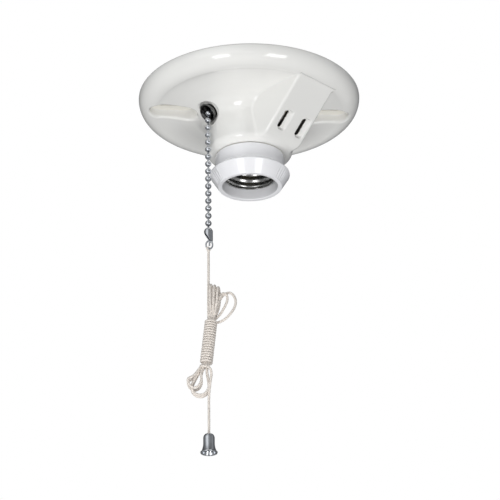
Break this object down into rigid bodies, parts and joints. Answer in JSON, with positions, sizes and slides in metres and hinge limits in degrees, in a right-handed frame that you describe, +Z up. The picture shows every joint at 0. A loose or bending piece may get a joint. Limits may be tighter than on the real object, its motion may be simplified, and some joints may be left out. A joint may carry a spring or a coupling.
{
  "type": "ceiling lampholder",
  "caption": "Round glazed porcelain ceiling lampholder with pull-chain switch, screw socket and a sloping side outlet.",
  "frame": {"origin": "centre of the porcelain body's flat back, where it meets the ceiling", "axes": "+Z up into the ceiling along the lamp's axis, the fixture hangs to -Z; -Y towards the viewer; +X to the viewer's right"},
  "size_m": [0.1142, 0.1142, 0.1992],
  "materials": {
    "porcelain": "high gloss warm white glaze",
    "collar_glaze": "satin cool white glaze",
    "nickel": "bright nickel plate",
    "dark_nickel": "dark bright nickel plate",
    "brass": "stamped brass",
    "shell_metal": "bright rolled screw shell",
    "silver": "nickel plated screw",
    "steel": "zinc plated steel",
    "phenolic": "moulded phenolic",
    "fibre": "pressed fibre board",
    "cotton": "twisted cotton cord"
  },
  "bodies": {
    "lampholder": {"porcelain_body": "porcelain", "collar_ring": "collar_glaze", "screw_shell": "shell_metal", "socket_insulator": "phenolic", "contact_base": "brass", "centre_rivet": "brass", "shell_screw_back": "steel", "shell_screw_front": "steel", "switch_housing": "phenolic", "switch_cover": "fibre", "rotor_shaft": "steel", "return_spring": "steel", "load_contact": "brass", "line_contact": "brass", "chain_guide": "dark_nickel", "guide_retainer": "steel", "outlet_contact_hot": "brass", "outlet_contact_neutral": "brass", "hot_strap": "brass", "neutral_strap": "brass", "hot_terminal_plate": "brass", "neutral_terminal_plate": "silver", "hot_terminal_screw_1": "brass", "hot_terminal_screw_2": "brass", "neutral_terminal_screw_1": "silver", "neutral_terminal_screw_2": "silver", "shell_strap": "brass", "line_strap": "brass"},
    "contact": {"contact_tongue": "brass"},
    "arm": {"pull_arm": "steel", "pawl": "steel"},
    "rotor": {"ratchet_rotor": "phenolic", "rotor_contact": "brass"},
    "inner_chain": {"inner_chain": "nickel"},
    "throat_bead": {"throat_bead": "nickel"},
    "mouth_bead": {"mouth_bead": "nickel"},
    "chain_top": {"chain_top_bead": "nickel"},
    "chain_upper": {"chain_upper": "nickel"},
    "chain_middle": {"chain_middle": "nickel"},
    "chain_lower": {"chain_lower": "nickel"},
    "coupling": {"coupled_bead": "nickel", "chain_coupling": "nickel", "coupling_eye": "nickel"},
    "cord": {"cord_upper": "cotton", "cord_hank": "cotton", "cord_lower": "cotton", "bell_knot": "cotton"},
    "bell": {"pull_bell": "nickel"}
  },
  "joints": [
    {"name": "chain_pull", "type": "slide", "parent": "lampholder", "child": "chain_top", "axis": [0, 0, -1], "range_m": [0, 0.007], "stiffness_N_per_m": 300, "springref_m": -0.005},
    {"name": "mouth_bead_slide", "type": "slide", "parent": "lampholder", "child": "mouth_bead", "axis": [-0.0367, -0.0221, -0.9991], "range_m": [0, 0.00702]},
    {"name": "throat_bead_slide", "type": "slide", "parent": "lampholder", "child": "throat_bead", "axis": [-0.3892, -0.2338, -0.891], "range_m": [0, 0.00665]},
    {"name": "inner_chain_slide", "type": "slide", "parent": "lampholder", "child": "inner_chain", "axis": [-0.6566, -0.3945, -0.6428], "range_m": [0, 0.00701]},
    {"name": "arm_swing", "type": "hinge", "parent": "lampholder", "child": "arm", "pos_m": [-0.0075, -0.00451, -0.01619], "axis": [0.515, -0.8572, 0], "range_deg": [0, 35.4]},
    {"name": "rotor_turn", "type": "hinge", "parent": "lampholder", "child": "rotor", "pos_m": [-0.0075, -0.00451, -0.01619], "axis": [0.515, -0.8572, 0], "range_deg": [0, 90.1]},
    {"name": "contact_flex", "type": "hinge", "parent": "lampholder", "child": "contact", "pos_m": [-0.0045, -0.0027, -0.0305], "axis": [0.515, -0.8572, 0], "range_deg": [0, 9], "stiffness_Nm_per_rad": 0.15},
    {"name": "chain_swing_out", "type": "hinge", "parent": "chain_top", "child": "chain_upper", "pos_m": [-0.021, -0.01262, -0.0194], "axis": [-0.515, 0.8572, 0], "range_deg": [0, 60]},
    {"name": "chain_swing_side", "type": "hinge", "parent": "chain_upper", "child": "chain_middle", "pos_m": [-0.021, -0.01262, -0.03608], "axis": [-0.8572, -0.515, 0], "range_deg": [-45, 45]},
    {"name": "chain_swing_lower", "type": "hinge", "parent": "chain_middle", "child": "chain_lower", "pos_m": [-0.021, -0.01262, -0.05693], "axis": [-0.515, 0.8572, 0], "range_deg": [-45, 45]},
    {"name": "coupling_swing", "type": "hinge", "parent": "chain_lower", "child": "coupling", "pos_m": [-0.021, -0.01262, -0.07778], "axis": [-0.8572, -0.515, 0], "range_deg": [-25, 25]},
    {"name": "cord_swing", "type": "hinge", "parent": "coupling", "child": "cord", "pos_m": [-0.021, -0.01262, -0.0915], "axis": [-0.515, 0.8572, 0], "range_deg": [-30, 30]},
    {"name": "bell_slide", "type": "slide", "parent": "cord", "child": "bell", "axis": [0, 0, 1], "range_m": [0, 0.006]}
  ],
  "couplings": [
    {"joint": "mouth_bead_slide", "follows": "chain_pull", "ratio": 1.0009},
    {"joint": "throat_bead_slide", "follows": "chain_pull", "ratio": 0.9486},
    {"joint": "inner_chain_slide", "follows": "chain_pull", "ratio": 1},
    {"joint": "arm_swing", "follows": "chain_pull", "rad_per_m": 88},
    {"joint": "rotor_turn", "follows": "chain_pull", "rad_per_m": 224.4}
  ]
}
